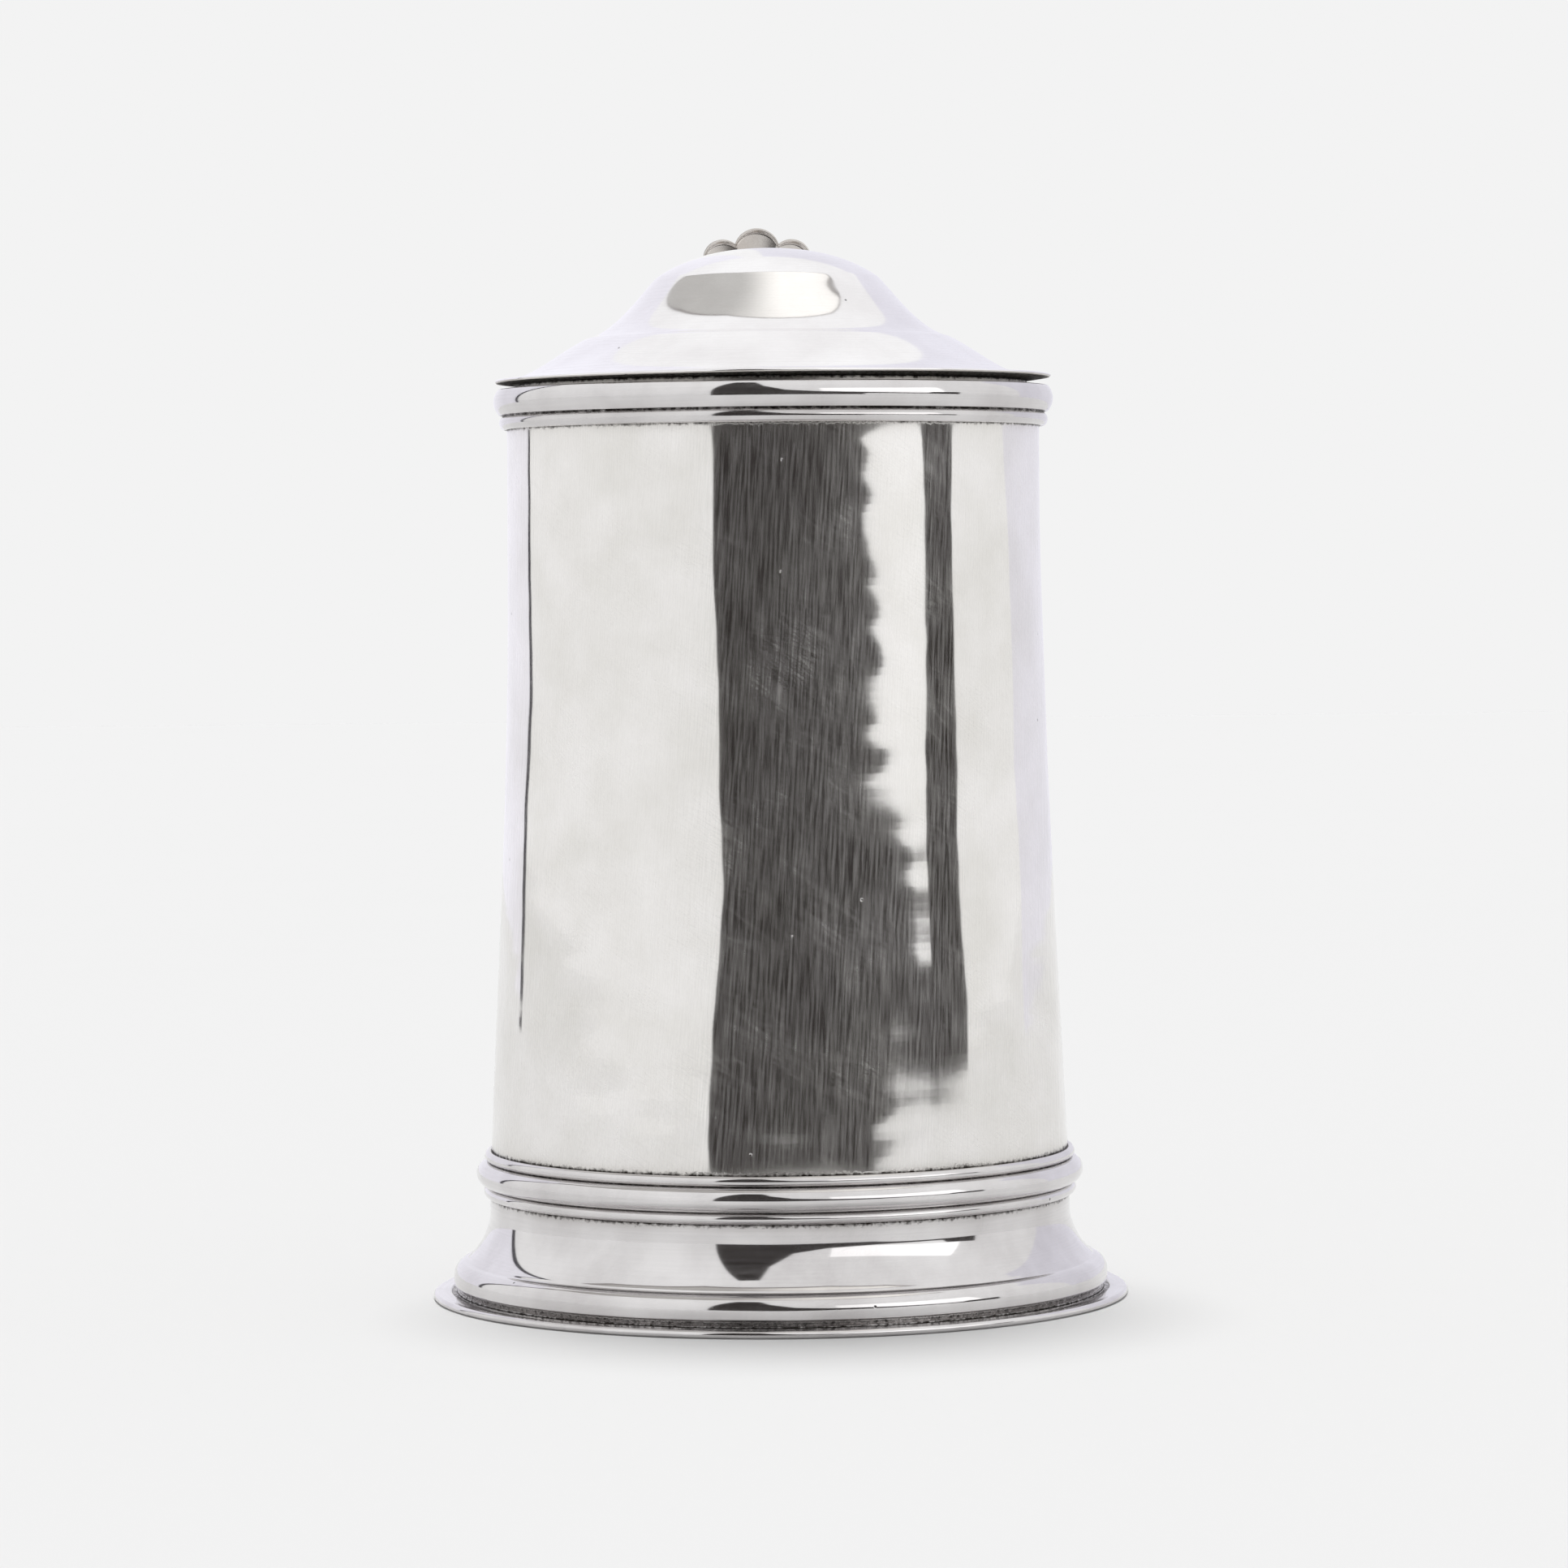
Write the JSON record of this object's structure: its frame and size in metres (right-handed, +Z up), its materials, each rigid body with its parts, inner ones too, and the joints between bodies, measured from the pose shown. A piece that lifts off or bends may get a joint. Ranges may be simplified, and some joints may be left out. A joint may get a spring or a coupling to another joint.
{
  "type": "lidded tankard",
  "caption": "Tapered pewter drinking tankard with a spreading foot, domed hinged lid, shell thumbpiece and scroll handle.",
  "frame": {"origin": "on the drum's axis, on the surface that the foot stands on", "axes": "+Z up along the drum's axis; the handle is on the +Y side, so the front is -Y; +X is to the right seen from the front"},
  "size_m": [0.1298, 0.1687, 0.2026],
  "materials": {
    "polished_pewter": "polished, with fine turning lines and light wear",
    "cast_pewter": "cast and polished, darker in the hollows",
    "dull_pewter": "turned, not polished",
    "pin_steel": "drawn wire, tarnished"
  },
  "bodies": {
    "vessel": {"drum": "polished_pewter", "floor_plate": "dull_pewter", "lip_moulding": "cast_pewter", "girdle_moulding": "cast_pewter", "foot_skirt": "polished_pewter", "foot_flange": "cast_pewter", "handle_socket": "cast_pewter", "handle_back": "polished_pewter", "handle_front": "polished_pewter", "lower_strut": "cast_pewter", "handle_terminal": "cast_pewter", "socket_knuckle_left": "cast_pewter", "socket_knuckle_middle": "cast_pewter", "socket_knuckle_right": "cast_pewter", "hinge_pin": "pin_steel", "pin_cap_left": "cast_pewter", "pin_cap_right": "cast_pewter"},
    "lid": {"lid_cover": "polished_pewter", "lid_bezel": "dull_pewter", "lid_strap": "cast_pewter", "lid_knuckle_left": "cast_pewter", "lid_knuckle_right": "cast_pewter", "thumbpiece": "cast_pewter"}
  },
  "joints": [
    {"name": "lid_hinge", "type": "hinge", "parent": "vessel", "child": "lid", "pos_m": [0, 0.0575, 0.17055], "axis": [-1, 0, 0], "range_deg": [0, 100]}
  ]
}
